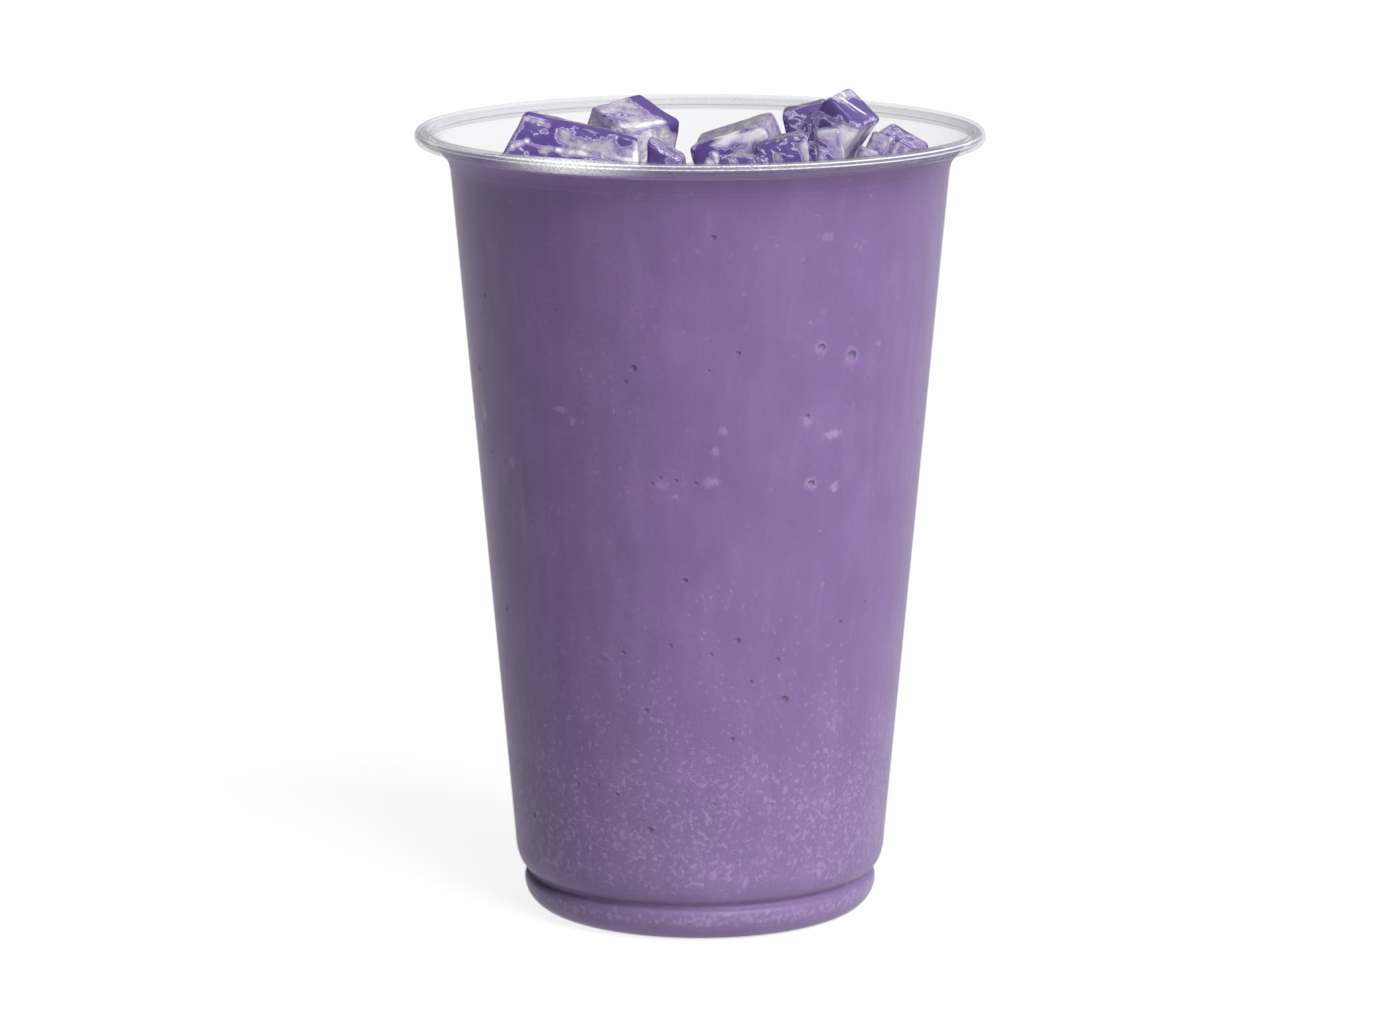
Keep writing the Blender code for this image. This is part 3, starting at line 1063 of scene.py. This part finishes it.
    def relief(self, x: float, y: float, ice: BVHTree) -> float:
        """Ripples of the thick drink, and its rise where it wets the ice.

        Args:
            x: Millimetres to the right.
            y: Millimetres to the back.
            ice: The ice's faces.

        Returns:
            How far the surface stands above its level, in millimetres.
        """
        place = Vector((x, y, 0.0))
        swell = sum(high * noise.noise(place / long) for long, high in self.waves)
        wet = Vector((x, y, self.level(x, y))) * MM
        distance = ice.find_nearest(wet)[3] / MM
        peaks = sum(high * math.exp(-((x - px) ** 2 + (y - py) ** 2) / wide ** 2)
                    for px, py, high, wide in self.peaks)
        return swell + self.wet_rise * math.exp(-distance / self.wet_reach) + peaks

    def outline(self) -> list[Vector]:
        """Lay out the half section.

        Returns:
            The points out along the top, then down the side to the middle of the base.
        """
        edge = self.radius_at(self.fill)
        top = [Vector((edge * ring / self.top_rings, self.fill)) for ring in range(self.top_rings + 1)]
        low = self.cup.shoulder[1]
        rows = [low + (self.fill - low) * (1 - row / self.side_rings) for row in range(1, self.side_rings)]
        wall = [Vector((self.radius_at(height), height)) for height in rows]
        return top + wall + self.side()[1:]

    def shape_top(self, shape: BMesh, ice: BVHTree) -> None:
        """Bring the turned blank's top to the drink's dipping level and its relief.

        Args:
            shape: The turned blank, which is changed.
            ice: The ice's faces.
        """
        edge = self.radius_at(self.fill)
        low = self.cup.shoulder[1]
        levels: dict[float, float] = {}
        for vertex in shape.verts:
            flat = vertex.co.xy / MM
            height = vertex.co.z / MM
            if height < low + self.hair:
                continue
            direction = flat.normalized() if flat.length > self.hair else Vector((0.0, 1.0))
            key = round(math.atan2(direction.y, direction.x), 4)
            if key not in levels:
                levels[key] = self.edge_level(direction)
            top = levels[key]
            if height > self.fill - self.hair:
                share = flat.length / edge
                place = direction * self.radius_at(top) * share
                calm = min(1.0, (1.0 - share) * self.calm_rim)
                lift = self.relief(place.x, place.y, ice) * calm
                vertex.co = Vector((place.x, place.y, self.level(place.x, place.y) + lift)) * MM
            else:
                height = low + (height - low) * (top - low) / (self.fill - low)
                place = direction * self.radius_at(height)
                vertex.co = Vector((place.x, place.y, height)) * MM

    def all_pits(self) -> list[Pit]:
        """Add pits all round to those that show at the front.

        Returns:
            Every pit.
        """
        luck = random.Random(self.seed)
        pits = list(self.pits)
        while len(pits) < len(self.pits) + self.scattered:
            share = luck.random() ** self.scattered_crowd
            height = self.scattered_low + self.scattered_rise * share
            angle = luck.uniform(-180, 180)
            size = luck.uniform(*self.scattered_size)
            shown = abs(angle) < self.shown_angle and height > self.shown_low
            if not shown:
                pits.append(Pit(angle, height, size))
        return pits

    def on_wall(self, angle: float, height: float) -> Vector:
        """Find a place on the drink's side.

        Args:
            angle: Degrees round from the front.
            height: Millimetres above the table.

        Returns:
            The place in metres.
        """
        radius = self.radius_at(height)
        turn = math.radians(angle)
        return Vector((radius * math.sin(turn), -radius * math.cos(turn), height)) * MM

    def all_marks(self) -> list[tuple[Vector, Mark]]:
        """Each pale mark with its place."""
        return [(self.on_wall(mark.angle, mark.height), mark) for mark in self.marks]

    def dents(self) -> Object:
        """Make the air bubbles that dent the drink against the wall.

        Returns:
            All of them as one cutter.
        """
        shape = bmesh.new()
        for pit in self.all_pits():
            place = self.on_wall(pit.angle, pit.height)
            turn = Matrix.Rotation(math.radians(pit.angle), 4, "Z")
            flatten = turn @ Matrix.Diagonal(self.pit_flat)
            made = bmesh.ops.create_icosphere(shape, subdivisions=2, radius=pit.size / 2 * MM)
            bmesh.ops.transform(shape, matrix=Matrix.Translation(place) @ flatten,
                                verts=made["verts"])
        return mesh_object("dents", shape, bpy.data.materials.new("Cutter"))

    def build(self, material: Material) -> Object:
        """Turn the blank, shape its top, and cut the ice and the air bubbles out of it.

        Args:
            material: The taro milk tea.

        Returns:
            The drink, mounted on the frame.
        """
        blocks = bmesh.new()
        for ice in self.heap.pieces:
            part = bpy.data.meshes.new("pocket")
            block = self.heap.block(ice, -self.overlap)
            block.transform(self.heap.placing(ice))
            block.to_mesh(part)
            block.free()
            blocks.from_mesh(part)
            bpy.data.meshes.remove(part)
        tree = BVHTree.FromBMesh(blocks)
        shape = spin_outline(self.outline(), self.steps)
        self.shape_top(shape, tree)
        bmesh.ops.recalc_face_normals(shape, faces=shape.faces)
        drink = mesh_object("taro_milk_tea", shape, material)
        cutters = [self.dents(), mesh_object("pockets", blocks, bpy.data.materials.new("Cutter"))]
        for cutter in cutters:
            cut = drink.modifiers.new("Cut", "BOOLEAN")
            cut.operation = "DIFFERENCE"
            cut.object = cutter
            cut.solver = "EXACT"
        settle(drink)
        drink.data.set_sharp_from_angle(angle=math.radians(self.crease))
        for cutter in cutters:
            bpy.data.objects.remove(cutter)
        mount(drink, Slot.DRINK, "drink")
        return drink


@dataclass
class Studio:
    """The pale floor, the soft light and the camera at the photo's viewing angle."""

    camera_place: tuple = (0.0, -960.0, 251.8)
    camera_pitch: float = 10.88
    lens: float = 149.4
    floor_radius: float = 6000.0
    floor_colour: str = "#707070"
    floor_glow: float = 0.85
    room_even: float = 0.22
    room_sides: tuple = (("X", 0.35), ("Y", 0.1), ("Z", 0.3))
    room_least: float = 0.04
    key_strength: float = 5.5
    key_width: float = 42.0
    key_around: float = 36.0
    key_up: float = 40.0
    window_power: float = 3.4
    window_place: tuple = (0.9, -0.7, 0.15)
    window_size: tuple = (0.7, 0.8)
    window_aim: float = 70.0

    def camera(self) -> None:
        """Make the camera and set it."""
        data = bpy.data.cameras.new("Camera")
        data.lens = self.lens
        data.sensor_width = 36.0
        data.clip_start = 0.01
        data.clip_end = 100.0
        camera = add_object("Camera", data)
        camera.location = Vector(self.camera_place) * MM
        camera.rotation_euler = (math.radians(90 - self.camera_pitch), 0.0, 0.0)
        bpy.context.scene.camera = camera

    def floor(self) -> None:
        """Make the white floor, which glows softly so that it stays white under the cup's shade."""
        material, shader, _ = new_material("Lit white acrylic")
        feed(shader, {"Base Color": linear(self.floor_colour), "Roughness": 0.9,
                      "Emission Color": linear("#FFFFFF"), "Emission Strength": self.floor_glow})
        shape = bmesh.new()
        bmesh.ops.create_circle(shape, cap_ends=True, segments=96, radius=self.floor_radius * MM)
        floor = mesh_object("floor", shape, material)

    def world(self) -> None:
        """Light the room softly: bright from the right and above, dim from the left."""
        world = bpy.data.worlds.new("Soft room")
        world.use_nodes = True
        world.node_tree.nodes.clear()
        add = partial(add_node, world.node_tree)
        place = add("TexCoord").outputs["Generated"]
        ways = add("SeparateXYZ", {0: place})
        total = self.room_even
        for axis, weight in self.room_sides:
            total = add("Math", {0: ways.outputs[axis], 1: weight, 2: total}, operation="MULTIPLY_ADD")
        total = add("Math", {0: total, 1: self.room_least}, operation="MAXIMUM")
        room = add("Background", {"Color": linear("#FFFFFF"), "Strength": total})
        backdrop = add("Background", {"Color": linear("#FFFFFF")})
        path = add("LightPath")
        seen = add("Math", {0: path.outputs["Is Camera Ray"], 1: path.outputs["Is Transmission Ray"]},
                   operation="MAXIMUM")
        shine = add("MixShader", {0: seen, 1: room, 2: backdrop})
        add("OutputWorld", {"Surface": shine})
        bpy.context.scene.world = world

    def key_light(self) -> None:
        """Add the broad soft key from the right front."""
        data = bpy.data.lights.new("Key", "SUN")
        data.energy = self.key_strength
        data.angle = math.radians(self.key_width)
        key = add_object("Key", data)
        around = math.radians(self.key_around)
        up = math.radians(self.key_up)
        way = Vector((math.sin(around) * math.cos(up), -math.cos(around) * math.cos(up), math.sin(up)))
        key.location = way
        key.rotation_euler = way.to_track_quat("Z", "Y").to_euler()

    def window(self) -> None:
        """Add the low window at the right, whose sheen shows on the cup's right side."""
        data = bpy.data.lights.new("Window", "AREA")
        data.shape = "RECTANGLE"
        data.energy = self.window_power
        data.size, data.size_y = self.window_size
        window = add_object("Window", data)
        window.location = self.window_place
        aim = window.location - Vector((0.0, 0.0, self.window_aim)) * MM
        window.rotation_euler = aim.to_track_quat("Z", "Y").to_euler()
        window.visible_camera = False

    def build(self) -> None:
        """Make the whole studio."""
        self.camera()
        self.floor()
        self.world()
        self.key_light()
        self.window()
        bpy.context.scene.view_settings.view_transform = "Standard"


def main() -> None:
    """Load the frame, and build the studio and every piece."""
    logging.basicConfig(level=logging.INFO, format="%(name)s: %(message)s")
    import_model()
    _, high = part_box("cup")
    cup = Cup(height=high.z / MM, rim_radius=high.x / MM)
    heap = IceHeap()
    Studio().build()
    cup.build(ClearPolypropylene().make())
    drink = Drink(cup, heap)
    drink.build(TaroMilk().make(drink.all_marks()))
    heap.build(WetIce().make())


if __name__ == "__main__":
    main()
